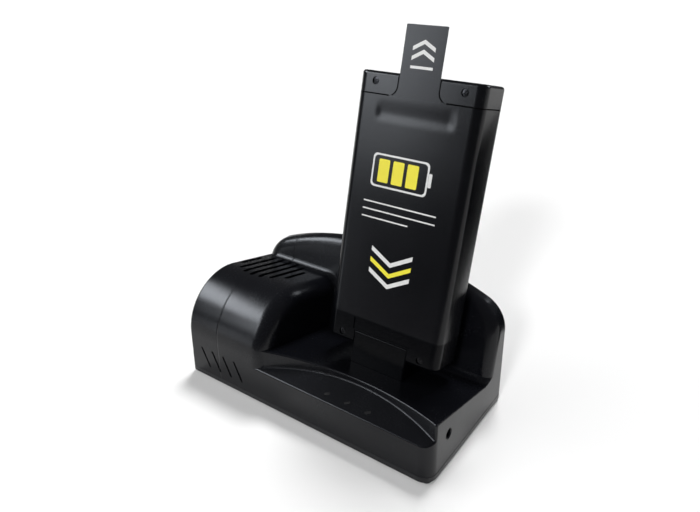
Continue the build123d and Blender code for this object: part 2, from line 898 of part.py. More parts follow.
# Battery pack, in the pack frame
def pack_prism(low, high, inset):
    outline = RectangleRounded(pack_width - 2 * inset, pack_thickness - 2 * inset, pack_corner_radius - inset)
    return Pos(0, pack_thickness / 2, low) * extrude(outline, amount=high - low)


def finger_dish():
    top = top_seam - dish_margin
    mouth = RectangleRounded(dish_width, dish_height, dish_corner_radius)
    floor_height = dish_height - dish_slope - dish_lip
    floor = RectangleRounded(dish_width - 2 * dish_slope, floor_height, dish_corner_radius)
    at_mouth = pack_face * Pos(0, dish_height / 2 - top) * mouth
    at_floor = pack_face.offset(dish_depth) * Pos(0, dish_lip + floor_height / 2 - top) * floor
    return loft([at_mouth, at_floor], ruled=True)


def pack_shell():
    body = pack_prism(bottom_cap_height, top_seam, label_thickness)
    body = body - pack_prism(bottom_cap_height - overrun, top_seam + overrun, label_thickness + pack_wall)
    return pack_seat * (body - Pos(0, label_thickness, 0) * finger_dish())


# The label wraps the shell, lines the finger dish and runs up over the top cap as a tongue
def label_tongue():
    strip = Pos(0, top_seam + top_cap_height / 2) * Rectangle(tongue_width, top_cap_height)
    reach = tongue_width / 2 + tongue_flare_radius
    foot = Pos(0, top_seam + tongue_flare_radius / 2) * Rectangle(2 * reach, tongue_flare_radius)
    flares = [Pos(u, top_seam + tongue_flare_radius) * Circle(tongue_flare_radius) for u in (-reach, reach)]
    outline = strip + (foot - flares)
    return extrude(Plane.XZ * outline, amount=-label_thickness)


def pack_label():
    sleeve = pack_prism(bottom_cap_height, top_seam, 0)
    sleeve = sleeve - pack_prism(bottom_cap_height - overrun, top_seam + overrun, label_thickness)
    dish = finger_dish()
    lining = Pos(0, label_thickness, 0) * dish
    return pack_seat * (sleeve + lining - dish + label_tongue())


def pack_screw_places(level):
    return [(u, level) for u in spread(2, pack_screw_span)]


def into_pack(u, v, n_from, n_to, diameter):
    rod = Cylinder(diameter / 2, n_to - n_from, align=(Align.CENTER, Align.CENTER, Align.MIN))
    return pack_face.location * Pos(u, -v, n_from) * rod


def screw_room(places):
    wide = pack_screw_head + 2 * screw_clearance
    heads = [into_pack(u, v, -overrun, pack_screw_sink, wide) for u, v in places]
    end = pack_screw_sink + pack_screw_length + overrun / 2
    return heads + [into_pack(u, v, 0, end, pack_screw_shank + screw_clearance) for u, v in places]


def pack_top_cap():
    places = pack_screw_places(pack_length - top_screw_inset)
    body = pack_prism(top_seam + label_gap, pack_length, 0)
    body = fillet(body.edges().group_by(Axis.Z)[-1], cap_edge_radius)
    body = body + pack_prism(top_seam, top_seam + label_gap, label_groove)
    hollow = pack_prism(top_seam - cap_spigot - overrun, pack_length - cap_roof, cap_hollow)
    hollow = hollow - [into_pack(u, v, 0, pack_boss_length, pack_boss) for u, v in places]
    spigot = pack_prism(top_seam - cap_spigot, top_seam, spigot_inset)
    body = body + spigot - hollow
    return pack_seat * (body - screw_room(places) - label_tongue())


def pack_bottom_cap():
    places = pack_screw_places(bottom_screw_inset)
    body = pack_prism(0, bottom_cap_height, 0)
    body = fillet(body.edges().group_by(Axis.Z)[0], cap_edge_radius)
    half = tower_width / 2 + tower_clearance
    deep = tower_depth + tower_clearance
    roof = keyway_height + cap_roof
    surround = block(-half - cap_roof, half + cap_roof, 0, deep + cap_roof, 0, roof)
    hollow = pack_prism(cap_roof, bottom_cap_height + cap_spigot + overrun, cap_hollow) - surround
    hollow = hollow - [into_pack(u, v, 0, pack_boss_length, pack_boss) for u, v in places]
    spigot = pack_prism(bottom_cap_height, bottom_cap_height + cap_spigot, spigot_inset)
    keyway = block(-half, half, -overrun, deep, -overrun, keyway_height)
    panel_low = keyway_height + keyway_panel_gap
    panel_half = keyway_panel_width / 2
    panel = block(
        -panel_half, panel_half, -overrun, keyway_panel_depth, panel_low, panel_low + keyway_panel_height
    )
    slots = blade_slots(blade_clearance, keyway_height - overrun, roof + overrun)
    return pack_seat * (body + spigot - hollow - keyway - panel - slots - screw_room(places))


def pack_screws():
    places = pack_screw_places(bottom_screw_inset) + pack_screw_places(pack_length - top_screw_inset)
    head_from = pack_screw_sink - pack_screw_head_height
    screws = []
    for u, v in places:
        head = into_pack(u, v, head_from, pack_screw_sink, pack_screw_head)
        shank = into_pack(u, v, head_from, pack_screw_sink + pack_screw_length, pack_screw_shank)
        screws.append(pack_seat * (head + shank))
    return group(screws)


def pull_tab():
    low = pack_length + tab_gap
    outline = Rectangle(tongue_width, tab_length, align=(Align.CENTER, Align.MIN))
    outline = fillet(outline.vertices().sort_by(Axis.Y)[-2:], tab_corner_radius)
    return pack_seat * extrude(Plane.XZ * Pos(0, low) * outline, amount=-tab_thickness)


def tier_low(tier):
    return stack_low + spacer_thickness + strip_thickness + tier * tier_pitch


def cells():
    items = []
    for tier in range(cell_tiers):
        low = tier_low(tier)
        for u in spread(cell_columns, cell_pitch):
            cell = post(u, pack_thickness / 2, low, low + cell_length, cell_diameter)
            items.append(pack_seat * cell)
    return group(items)


def nickel_strips():
    items = []
    half = ((cell_columns - 1) * cell_pitch + strip_width) / 2
    near = (pack_thickness - strip_width) / 2
    for tier in range(cell_tiers):
        low = tier_low(tier)
        for z in (low - strip_thickness, low + cell_length):
            strip = block(-half, half, near, near + strip_width, z, z + strip_thickness)
            items.append(pack_seat * strip)
    return group(items)


def cell_spacers():
    inset = label_thickness + pack_wall + spacer_clearance
    lows = [stack_low + tier * tier_pitch for tier in range(cell_tiers + 1)]
    return group([pack_seat * pack_prism(low, low + spacer_thickness, inset) for low in lows])


def pack_board():
    inset = label_thickness + pack_wall + spacer_clearance
    return pack_seat * pack_prism(pack_board_low, stack_low, inset)


def pack_socket():
    half = socket_width / 2
    middle = blade_setback + blade_width / 2
    roof = keyway_height + cap_roof
    near = middle - socket_depth / 2
    body = block(-half, half, near, near + socket_depth, roof, pack_board_low)
    return pack_seat * (body - blade_slots(blade_clearance, roof - overrun, roof + socket_hole_depth))


pieces = (
    upper_housing,
    bottom_cover,
    rubber_feet,
    case_screws,
    main_board,
    board_screws,
    dc_jack,
    dc_jack_pin,
    choke,
    capacitors,
    controller_chips,
    lamp_chips,
    light_pipes,
    contact_tower,
    contact_blades,
    heat_sink,
    heat_sink_screws,
    load_resistors,
    fan_frame,
    fan_bush,
    fan_stator,
    fan_screws,
    fan_rotor,
    pack_shell,
    pack_label,
    pack_top_cap,
    pack_bottom_cap,
    pack_screws,
    pull_tab,
    cells,
    nickel_strips,
    cell_spacers,
    pack_board,
    pack_socket,
)

if __name__ == "__main__":
    os.makedirs("parts", exist_ok=True)
    for piece in pieces:
        export_step(piece(), f"parts/{piece.__name__}.step")
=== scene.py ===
import json
import math

import bmesh
import bpy
from mathutils import Matrix, Vector


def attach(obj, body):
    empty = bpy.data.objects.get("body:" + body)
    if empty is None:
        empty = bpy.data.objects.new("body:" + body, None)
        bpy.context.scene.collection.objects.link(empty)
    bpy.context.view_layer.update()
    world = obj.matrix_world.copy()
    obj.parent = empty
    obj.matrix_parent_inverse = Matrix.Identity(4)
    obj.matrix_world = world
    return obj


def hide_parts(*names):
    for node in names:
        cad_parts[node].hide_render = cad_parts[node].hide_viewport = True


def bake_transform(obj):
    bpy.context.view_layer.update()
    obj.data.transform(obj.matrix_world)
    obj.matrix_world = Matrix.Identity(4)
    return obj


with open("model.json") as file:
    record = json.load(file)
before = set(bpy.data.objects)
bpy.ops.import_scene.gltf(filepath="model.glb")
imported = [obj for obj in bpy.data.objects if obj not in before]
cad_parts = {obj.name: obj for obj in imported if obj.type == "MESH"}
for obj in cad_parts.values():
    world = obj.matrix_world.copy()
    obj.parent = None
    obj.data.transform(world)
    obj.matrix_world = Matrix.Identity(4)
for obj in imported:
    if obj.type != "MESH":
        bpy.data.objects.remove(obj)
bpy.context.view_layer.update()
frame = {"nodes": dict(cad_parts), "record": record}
nodes = frame["nodes"]
print("frame loaded:", len(nodes), "nodes")


# a socket of a material's tree, with arithmetic on it
class Wire:
    def __init__(self, tree, socket=None):
        self.tree = tree
        self.socket = socket

    def make(self, kind, settings=None, values=None, out=0):
        made = self.tree.nodes.new(kind)
        for key, value in (settings or {}).items():
            setattr(made, key, value)
        for key, value in (values or {}).items():
            if isinstance(value, Wire):
                self.tree.links.new(value.socket, made.inputs[key])
            else:
                made.inputs[key].default_value = value
        return Wire(self.tree, made.outputs[out])

    def math(self, operation, *values):
        return self.make("ShaderNodeMath", {"operation": operation}, dict(enumerate(values)))

    def __add__(self, other):
        return self.math("ADD", self, other)

    def __radd__(self, other):
        return self.math("ADD", other, self)

    def __sub__(self, other):
        return self.math("SUBTRACT", self, other)

    def __rsub__(self, other):
        return self.math("SUBTRACT", other, self)

    def __mul__(self, other):
        return self.math("MULTIPLY", self, other)

    def __rmul__(self, other):
        return self.math("MULTIPLY", other, self)

    # 0 at low and 1 at high, with a smooth way between
    def clear(self, low, high):
        return self.make("ShaderNodeMapRange", {"interpolation_type": "SMOOTHSTEP"},
                         {"Value": self, "From Min": low, "From Max": high})

    def along(self, axis):
        return self.make("ShaderNodeSeparateXYZ", None, {0: self}, axis)

    def noise(self, scale, detail=2.0, stretch=None):
        place = self
        if stretch is not None:
            place = self.make("ShaderNodeMapping", None, {"Vector": self, "Scale": stretch})
        values = {"Vector": place, "Scale": scale, "Detail": detail}
        return self.make("ShaderNodeTexNoise", None, values, "Fac")

    def cells(self, scale):
        return self.make("ShaderNodeTexVoronoi", None, {"Vector": self, "Scale": scale}, "Distance")

    def blend(self, first, second):
        return self.make("ShaderNodeMix", {"data_type": "RGBA"}, {0: self, 6: first, 7: second}, 2)

    def bump(self, depth):
        return self.make("ShaderNodeBump", None, {"Height": self, "Distance": depth, "Strength": 1.0})


feedNames = dict(colour="Base Color", rough="Roughness", normal="Normal")


# a material with its fixed values, its Object coordinates and a way to feed the shader
def newMaterial(name, fixed):
    mat = bpy.data.materials.new(name)
    mat.use_nodes = True
    tree = mat.node_tree
    shader = tree.nodes["Principled BSDF"]
    for key, value in fixed.items():
        shader.inputs[key].default_value = value
    place = Wire(tree).make("ShaderNodeTexCoord", None, None, "Object")

    def feed(**links):
        for key, wire in links.items():
            tree.links.new(wire.socket, shader.inputs[feedNames[key]])

    return mat, place, feed


def shade(colour, factor):
    return tuple(min(1.0, c * factor) for c in colour[:3]) + (1.0,)


# moulded plastics: spark-eroded grain, slow changes of sheen and a little dust
mould = dict(slow=38.0, slowDetail=3.0, fineShare=0.55, grainShare=0.6, dark=0.82, light=1.18,
             dustScale=520.0, dustFrom=0.055, dustTo=0.02, patchFrom=0.5, patchTo=0.62,
             dust=0.35, dustColour=(0.5, 0.5, 0.49, 1.0), slowRough=0.10, fineRough=0.12, dustRough=0.2)


def mouldedPlastic(name, look):
    mat, place, feed = newMaterial(name, {"Specular IOR Level": look["specular"]})
    slow = place.noise(mould["slow"], mould["slowDetail"])
    grain = place.cells(look["grain"])
    fine = place.noise(look["grain"] * mould["fineShare"])
    specks = place.cells(mould["dustScale"]).clear(mould["dustFrom"], mould["dustTo"])
    specks = specks * slow.clear(mould["patchFrom"], mould["patchTo"])
    tint = slow.blend(shade(look["colour"], mould["dark"]), shade(look["colour"], mould["light"]))
    relief = grain * mould["grainShare"] + fine * (1 - mould["grainShare"])
    if "lineAt" in look:
        across = place.along("X") - look["lineAt"]
        away = across.math("ABSOLUTE", across)
        relief = relief - away.clear(look["lineHalf"], 0.0) * look["lineDepth"]
    feed(
        colour=(specks * look.get("dust", mould["dust"])).blend(tint, mould["dustColour"]),
        rough=look["rough"] + (slow - 0.5) * mould["slowRough"] + (fine - 0.5) * mould["fineRough"]
        + specks * mould["dustRough"],
        normal=relief.bump(look["depth"]),
    )
    return mat


plastics = {
    "case_plastic": dict(colour=(0.0038, 0.0041, 0.0056), rough=0.25, specular=0.23, grain=2300.0, depth=0.00001,
                         lineAt=-0.0725, lineHalf=0.0007, lineDepth=14.0),  # a mould line runs down the hump
    "tower_plastic": dict(colour=(0.0014, 0.0016, 0.0023), rough=0.22, specular=0.09, grain=2300.0, depth=0.00001),
    "cover_plastic": dict(colour=(0.0046, 0.0049, 0.0062), rough=0.34, specular=0.40, grain=1900.0, depth=0.00003),
    "cap_plastic": dict(colour=(0.0025, 0.0028, 0.0040), rough=0.22, specular=0.27, grain=2600.0, depth=0.00002),
    # the bottom cap's copy of the cap plastic, darker and less glossy: painted shade of the cap down in the
    # cradle's pocket
    "cap_painted_shade": dict(colour=(0.0016, 0.0018, 0.0026), rough=0.20, specular=0.10, grain=2600.0, depth=0.00001),
    # near-black matt finish of the ribbon in the cap's gap: painted shade of the gap
    "gap_painted_shade": dict(colour=(0.0010, 0.0010, 0.0010), rough=0.85, specular=0.03, grain=2600.0, depth=0.00001,
                     dust=0.0),
    "pack_plastic": dict(colour=(0.0060, 0.0060, 0.0065), rough=0.40, specular=0.30, grain=2000.0, depth=0.00003),
    "jack_plastic": dict(colour=(0.006, 0.006, 0.006), rough=0.45, specular=0.5, grain=2400.0, depth=0.00002),
    "fan_plastic": dict(colour=(0.007, 0.007, 0.007), rough=0.45, specular=0.5, grain=1800.0, depth=0.00003),
    "rotor_plastic": dict(colour=(0.008, 0.008, 0.008), rough=0.4, specular=0.5, grain=1800.0, depth=0.00003,
                          dust=0.6),
    "socket_plastic": dict(colour=(0.008, 0.008, 0.008), rough=0.45, specular=0.5, grain=2400.0, depth=0.00002),
    "chip_epoxy": dict(colour=(0.012, 0.012, 0.013), rough=0.6, specular=0.4, grain=3000.0, depth=0.00002),
    "foot_rubber": dict(colour=(0.012, 0.012, 0.012), rough=0.8, specular=0.3, grain=1500.0, depth=0.00006),
    "ferrite": dict(colour=(0.035, 0.035, 0.038), rough=0.7, specular=0.4, grain=1200.0, depth=0.00008),
}


# printed film of the label and the tab: smooth, faintly dimpled like orange peel
film = dict(slow=30.0, peel=420.0, peelShare=0.8, fine=2400.0, dark=0.9, light=1.12,
            dustScale=430.0, dustFrom=0.05, dustTo=0.02, patchFrom=0.52, patchTo=0.64,
            dust=0.3, dustColour=(0.5, 0.5, 0.5, 1.0), slowRough=0.08, fineRough=0.08)


def printedFilm(name, look):
    mat, place, feed = newMaterial(name, {"Specular IOR Level": look["specular"]})
    slow = place.noise(film["slow"])
    peel = place.noise(film["peel"])
    fine = place.noise(film["fine"], 1.0)
    specks = place.cells(film["dustScale"]).clear(film["dustFrom"], film["dustTo"])
    specks = specks * slow.clear(film["patchFrom"], film["patchTo"])
    tint = slow.blend(shade(look["colour"], film["dark"]), shade(look["colour"], film["light"]))
    feed(
        colour=(specks * film["dust"]).blend(tint, film["dustColour"]),
        rough=look["rough"] + (slow - 0.5) * film["slowRough"] + (fine - 0.5) * film["fineRough"],
        normal=(peel * film["peelShare"] + fine * (1 - film["peelShare"])).bump(look["depth"]),
    )
    return mat


films = {
    "label_film": dict(colour=(0.0023, 0.0025, 0.0036), rough=0.23, specular=0.25, depth=0.00002),
    "tab_film": dict(colour=(0.0074, 0.0078, 0.0096), rough=0.25, specular=0.23, depth=0.00002),
    "print_white": dict(colour=(0.78, 0.78, 0.77), rough=0.40, specular=0.3, depth=0.00001),
    "print_yellow": dict(colour=(0.95, 0.82, 0.05), rough=0.40, specular=0.3, depth=0.00001),
}


# metals: drawn or turned marks run along one direction
metal = dict(detail=3.0, slow=60.0, dark=0.78, light=1.1, markShade=0.55, markShare=0.35,
             markRough=0.22, slowRough=0.12)


def markedMetal(name, look):
    mat, place, feed = newMaterial(name, {"Metallic": 1.0})
    marks = place.noise(look["marks"], metal["detail"], look["stretch"])
    slow = place.noise(metal["slow"], metal["detail"])
    tint = slow.blend(shade(look["colour"], metal["dark"]), shade(look["colour"], metal["light"]))
    feed(
        colour=(marks * metal["markShare"]).blend(tint, shade(look["colour"], metal["markShade"])),
        rough=look["rough"] + (marks - 0.5) * metal["markRough"] + (slow - 0.5) * metal["slowRough"],
        normal=marks.bump(look["depth"]),
    )
    return mat


metals = {
    "screw_steel": dict(colour=(0.56, 0.57, 0.58), rough=0.3, marks=900.0, stretch=(1, 1, 0.2), depth=0.00001),
    # the pack's screw heads are near black: painted shade of the sunk holes they sit in
    "pack_screw_steel": dict(colour=(0.030, 0.030, 0.032), rough=0.26, marks=900.0, stretch=(1, 1, 0.2),
                             depth=0.00001),
    "jack_metal": dict(colour=(0.72, 0.69, 0.62), rough=0.22, marks=1200.0, stretch=(0.2, 1, 1), depth=0.00001),
    "contact_brass": dict(colour=(0.80, 0.60, 0.26), rough=0.25, marks=1500.0, stretch=(1, 1, 0.1), depth=0.00001),
    "sink_aluminium": dict(colour=(0.68, 0.69, 0.70), rough=0.38, marks=1400.0, stretch=(1, 0.05, 1),
                           depth=0.00002),
    "resistor_aluminium": dict(colour=(0.62, 0.44, 0.13), rough=0.36, marks=1400.0, stretch=(1, 0.05, 1),
                               depth=0.00002),
    "bush_brass": dict(colour=(0.55, 0.44, 0.26), rough=0.4, marks=1800.0, stretch=(1, 1, 1), depth=0.00002),
    "stator_steel": dict(colour=(0.34, 0.22, 0.15), rough=0.45, marks=2200.0, stretch=(0.2, 0.2, 1),
                         depth=0.00004),
    "nickel": dict(colour=(0.66, 0.65, 0.62), rough=0.32, marks=1500.0, stretch=(0.05, 1, 1), depth=0.00001),
}


# shrink sleeves of the cells and the capacitors, over a metal can
sleeve = dict(specular=0.5, wrinkle=420.0, stretch=(1, 1, 0.25), slow=70.0, dark=0.8, light=1.15,
              wrinkleRough=0.14, depth=0.00005)


def sleevedCan(name, look):
    mat, place, feed = newMaterial(name, {"Specular IOR Level": sleeve["specular"]})
    wrinkle = place.noise(sleeve["wrinkle"], stretch=sleeve["stretch"])
    slow = place.noise(sleeve["slow"])
    feed(
        colour=slow.blend(shade(look["colour"], sleeve["dark"]), shade(look["colour"], sleeve["light"])),
        rough=look["rough"] + (wrinkle - 0.5) * sleeve["wrinkleRough"],
        normal=wrinkle.bump(sleeve["depth"]),
    )
    return mat


sleeves = {
    "cell_can": dict(colour=(0.05, 0.20, 0.42), rough=0.3),
    "can_aluminium": dict(colour=(0.03, 0.04, 0.12), rough=0.35),
}


# lamp windows and lamps: faintly cloudy
lamp = dict(cloud=700.0, dark=0.75, light=1.2, cloudRough=0.12, depth=0.00002)


def lampParts(name, look):
    mat, place, feed = newMaterial(name, {"Specular IOR Level": look["specular"]})
    cloud = place.noise(lamp["cloud"])
    feed(
        colour=cloud.blend(shade(look["colour"], lamp["dark"]), shade(look["colour"], lamp["light"])),
        rough=look["rough"] + (cloud - 0.5) * lamp["cloudRough"],
        normal=cloud.bump(lamp["depth"]),
    )
    return mat


lamps = {
    "light_pipe": dict(colour=(0.014, 0.014, 0.015), rough=0.22, specular=0.45),
    "lamp_chip": dict(colour=(0.80, 0.74, 0.46), rough=0.4, specular=0.5),
}


# circuit boards: tracks under the solder mask, pads and the weave of the laminate
def boardLaminate(name, look):
    mat, place, feed = newMaterial(name, {"Specular IOR Level": look["specular"]})
    lanes = place.make("ShaderNodeTexVoronoi", {"feature": "DISTANCE_TO_EDGE"},
                       {"Vector": place, "Scale": look["laneScale"], "Randomness": look["laneRandom"]}, "Distance")
    tracks = lanes.clear(look["trackFrom"], look["trackTo"])
    pads = place.cells(look["padScale"]).clear(look["padFrom"], look["padTo"])
    pads = pads * place.noise(look["padField"]).clear(look["fieldFrom"], look["fieldTo"])
    weave = place.make("ShaderNodeTexWave", {"wave_type": "BANDS"},
                       {"Vector": place, "Scale": look["weave"], "Distortion": look["weaveBend"]}, "Fac")
    relief = tracks * look["trackRise"] + pads * look["padRise"] + weave * look["weaveRise"]
    feed(
        colour=pads.blend(tracks.blend(look["mask"], look["track"]), look["pad"]),
        rough=look["rough"] - pads * look["padRough"] + (weave - 0.5) * look["weaveRough"],
        normal=relief.bump(look["depth"]),
    )
    return mat


boards = {
    "board_laminate": dict(mask=(0.012, 0.10, 0.045, 1.0), track=(0.022, 0.17, 0.07, 1.0),
                           pad=(0.62, 0.60, 0.55, 1.0), specular=0.5, rough=0.38,
                           laneScale=170.0, laneRandom=0.85, trackFrom=0.07, trackTo=0.05,
                           padScale=330.0, padFrom=0.16, padTo=0.13, padField=120.0, fieldFrom=0.5, fieldTo=0.56,
                           weave=900.0, weaveBend=2.0, trackRise=0.7, padRise=0.3, weaveRise=0.1,
                           padRough=0.1, weaveRough=0.06, depth=0.00004),
}


def fibreCard(name, look):
    mat, place, feed = newMaterial(name, {"Specular IOR Level": look["specular"]})
    fibres = place.noise(look["fibres"], look["detail"], look["stretch"])
    feed(
        colour=fibres.blend(look["dark"], look["light"]),
        rough=look["rough"] + (fibres - 0.5) * look["fibreRough"],
        normal=fibres.bump(look["depth"]),
    )
    return mat


cards = {
    "fibre_card": dict(dark=(0.40, 0.33, 0.23, 1.0), light=(0.58, 0.50, 0.37, 1.0), specular=0.3, rough=0.75,
                       fibres=900.0, detail=4.0, stretch=(1.0, 0.15, 1.0), fibreRough=0.2, depth=0.00004),
}


def makeMaterials():
    made = {}
    for maker, looks in ((mouldedPlastic, plastics), (printedFilm, films), (markedMetal, metals),
                         (sleevedCan, sleeves), (lampParts, lamps), (boardLaminate, boards), (fibreCard, cards)):
        for name, look in looks.items():
            made[name] = maker(name, look)
    return made


finishes = makeMaterials()
slotOf = {row["node"]: row["material_slot"] for row in frame["record"]["subparts"]}
# the bottom cap takes the darker copy of the cap plastic: painted shade
finishOf = dict(slotOf, pack_bottom_cap="cap_painted_shade")
for name, obj in nodes.items():
    obj.data.materials.clear()
    obj.data.materials.append(finishes[finishOf[name]])
print("materials made:", len(finishes))


# pack frame: u across, v up the pack, w out of its front, from the foot of that face
packFrame = dict(lean=math.radians(12.6), foot=(0.0375, -0.013707, 0.049401))
leanSin, leanCos = math.sin(packFrame["lean"]), math.cos(packFrame["lean"])
packPlace = Matrix((
    (1, 0, 0, packFrame["foot"][0]),
    (0, leanSin, -leanCos, packFrame["foot"][1]),
    (0, leanCos, leanSin, packFrame["foot"][2]),
    (0, 0, 0, 1),
))
meshLook = dict(merge=1e-7, near=1e-6, sharp=0.6)


def newObject(bm, name, finish):
    mesh = bpy.data.meshes.new(name)
    bm.to_mesh(mesh)
    bm.free()
    mesh.materials.append(finish)
    made = bpy.data.objects.new(name, mesh)
    bpy.context.scene.collection.objects.link(made)
    return made


def addPiece(bm, name, body, finish, place=None):
    bmesh.ops.remove_doubles(bm, verts=bm.verts, dist=meshLook["merge"])
    bmesh.ops.recalc_face_normals(bm, faces=bm.faces)
    for face in bm.faces:
        face.smooth = True
    for edge in bm.edges:
        edge.smooth = len(edge.link_faces) == 2 and edge.calc_face_angle() < meshLook["sharp"]
    if place is not None:
        bmesh.ops.transform(bm, matrix=place, verts=bm.verts)
    piece = newObject(bm, name, finishes[finish])
    if body:
        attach(piece, body)
    return piece


def addInto(bm, own):
    mesh = bpy.data.meshes.new("shape")
    own.to_mesh(mesh)
    own.free()
    bm.from_mesh(mesh)
    bpy.data.meshes.remove(mesh)


def vertsOf(geom):
    return [part for part in geom if isinstance(part, bmesh.types.BMVert)]


# a flat sheet about the origin
def flatSheet(bm, wide, high, columns=1, rows=1):
    made = bmesh.ops.create_grid(bm, x_segments=columns, y_segments=rows, size=0.5)["verts"]
    bmesh.ops.scale(bm, vec=(wide, high, 1), verts=made)
    return made


def thicken(bm, thickness):
    lifted = bmesh.ops.extrude_face_region(bm, geom=bm.faces[:], use_keep_orig=True)["geom"]
    bmesh.ops.translate(bm, vec=(0, 0, thickness), verts=vertsOf(lifted))


# the label: a film round the pack with a soft finger dish at its top
labelLook = dict(wide=0.085, deep=0.0308, corner=0.0058, cornerCuts=8, low=0.0191, high=0.1632,
                 thickness=0.00015, frontCuts=72, rowCuts=110,
                 dishHalf=0.0285, dishFoot=0.1470, dishTop=0.1629, dishSlope=0.0060, dishLip=0.0115,
                 dishDepth=0.00050)


def ease(value, start, end):
    t = min(1.0, max(0.0, (value - start) / (end - start)))
    return t * t * (3 - 2 * t)


def dishDepth(u, v):
    slope = labelLook["dishSlope"]
    across = ease(abs(u), labelLook["dishHalf"], labelLook["dishHalf"] - slope)
    along = ease(v, labelLook["dishFoot"], labelLook["dishFoot"] + slope)
    lip = ease(v, labelLook["dishTop"], labelLook["dishTop"] - labelLook["dishLip"])
    return labelLook["dishDepth"] * across * along * lip


# a band round the pack between two levels, as a rounded loop pulled upwards
def packBand(low, high, rowCuts, proud=0.0):
    bm = bmesh.new()
    made = flatSheet(bm, labelLook["wide"] + 2 * proud, labelLook["deep"] + 2 * proud)
    bmesh.ops.translate(bm, vec=(0, -labelLook["deep"] / 2, low), verts=made)
    bmesh.ops.bevel(bm, geom=made, offset=labelLook["corner"] + proud, segments=labelLook["cornerCuts"],
                    profile=0.5, affect="VERTICES", material=-1)
    bmesh.ops.delete(bm, geom=bm.faces[:], context="FACES_ONLY")
    front = [e for e in bm.edges if all(abs(v.co.y - proud) < meshLook["near"] for v in e.verts)]
    bmesh.ops.subdivide_edges(bm, edges=front, cuts=labelLook["frontCuts"])
    raised = bmesh.ops.extrude_edge_only(bm, edges=bm.edges[:])["geom"]
    bmesh.ops.translate(bm, vec=(0, 0, high - low), verts=vertsOf(raised))
    upright = [e for e in bm.edges if abs(e.verts[0].co.z - e.verts[1].co.z) > (high - low) / 2]
    if rowCuts:
        bmesh.ops.subdivide_edges(bm, edges=upright, cuts=rowCuts, use_grid_fill=True)
    swapAxes = Matrix(((1, 0, 0, 0), (0, 0, 1, 0), (0, 1, 0, 0), (0, 0, 0, 1)))
    bmesh.ops.transform(bm, matrix=swapAxes, verts=bm.verts)
    bmesh.ops.recalc_face_normals(bm, faces=bm.faces)
    return bm


def addLabel():
    bm = packBand(labelLook["low"], labelLook["high"], labelLook["rowCuts"])
    for v in bm.verts:
        if v.co.z > -meshLook["near"]:
            v.co.z -= dishDepth(v.co.x, v.co.y)
    bmesh.ops.solidify(bm, geom=bm.faces[:], thickness=labelLook["thickness"])
    label = addPiece(bm, "label_sleeve", "pack", "label_film", packPlace)
    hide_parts("pack_label")


# the pull tab: one flat film that leaves the label as a tongue and runs on up past the pack's top
tabLook = dict(half=0.0137, flare=0.0060, low=0.1632, high=0.2053, bendFrom=0.1766, bendTo=0.1798,
               thickness=0.0002, rows=84, columns=12, corner=0.0008, cornerCuts=4)


# half the film's width, which flares out at its foot
def tabHalf(v):
    drop = max(0.0, tabLook["low"] + tabLook["flare"] - v)
    return tabLook["half"] + tabLook["flare"] - math.sqrt(max(0.0, tabLook["flare"] ** 2 - drop ** 2))


def tongueGrid(columns, rows, low, high):
    bm = bmesh.new()
    made = flatSheet(bm, 1.0, high - low, columns, rows)
    bmesh.ops.translate(bm, vec=(0, (low + high) / 2, 0), verts=made)
    return bm


def addTab():
    bm = tongueGrid(tabLook["columns"], tabLook["rows"], tabLook["low"], tabLook["high"])
    for v in bm.verts:
        v.co.x *= 2 * tabHalf(v.co.y)
    corners = [v for v in bm.verts if len(v.link_edges) == 2 and v.co.y > tabLook["bendTo"]]
    bmesh.ops.bevel(bm, geom=corners, offset=tabLook["corner"], segments=tabLook["cornerCuts"],
                    profile=0.5, affect="VERTICES", material=-1)
    thicken(bm, -tabLook["thickness"])
    tab = addPiece(bm, "tab_film", None, "tab_film", packPlace)
    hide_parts("pull_tab")
    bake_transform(tab)


# a near-black ribbon laid in the gap between the top cap and the film: painted shade of the gap
gapShadeLook = dict(wide=0.0008, proud=0.00001, start=0.0199, top=0.1762, rows=40)


def addGapShade():
    wide, proud = gapShadeLook["wide"], gapShadeLook["proud"]
    foot = labelLook["high"] + wide
    bm = packBand(labelLook["high"], foot, 0, proud)
    centres = [(face, face.calc_center_median()) for face in bm.faces]
    middle = [face for face, at in centres if at.z > 0 and abs(at.x) < gapShadeLook["start"]]
    bmesh.ops.delete(bm, geom=middle, context="FACES")
    for side in (-1, 1):
        edge = tongueGrid(1, gapShadeLook["rows"], foot, gapShadeLook["top"])
        for v in edge.verts:
            inner = v.co.x * side < 0
            v.co.x = side * (tabHalf(v.co.y) if inner else tabHalf(v.co.y - wide / 2) + wide)
        bmesh.ops.translate(edge, vec=(0, 0, proud), verts=edge.verts)
        addInto(bm, edge)
    addPiece(bm, "cap_gap_shade", "pack", "gap_painted_shade", packPlace)


# print on the films: a plain battery sign, rules, arrows into the cradle, and arrows up on the tab
printLook = dict(
    lift=0.00001, thickness=0.00003, cornerCuts=5, slope=0.55, middle=-0.001,
    signAt=(-0.004, 0.118), signWide=0.040, signHigh=0.021, signCorner=0.0028, signLine=0.0012,
    knobAt=(0.0172, 0.118), knobWide=0.0022, knobHigh=0.0085, knobCorner=0.0006,
    bars=3, barsFrom=-0.0155, barStep=0.0102, barWide=0.0078, barHigh=0.0145, barCorner=0.0008,
    rules=(0.052, 0.052, 0.034), rulesFrom=0.0975, ruleStep=0.0050, ruleLine=0.0009,
    arrowsFrom=0.064, arrowStep=0.0072, arrowWide=0.030, arrowHigh=0.0030,
    pullFrom=0.1885, pullStep=0.0055, pullWide=0.0150, pullHigh=0.0024, pullRule=0.1815, pullLine=0.0016,
)


def flatBar(bm, u, v, wide, high, corner=0.0, slope=0.0):
    made = flatSheet(bm, wide, high)
    if slope:
        shear = Matrix.Identity(4)
        shear[1][0] = slope
        bmesh.ops.transform(bm, matrix=shear, verts=made)
    bmesh.ops.translate(bm, vec=(u, v, 0), verts=made)
    if corner:
        bmesh.ops.bevel(bm, geom=made, offset=corner, segments=printLook["cornerCuts"], profile=0.5,
                        affect="VERTICES", material=-1)


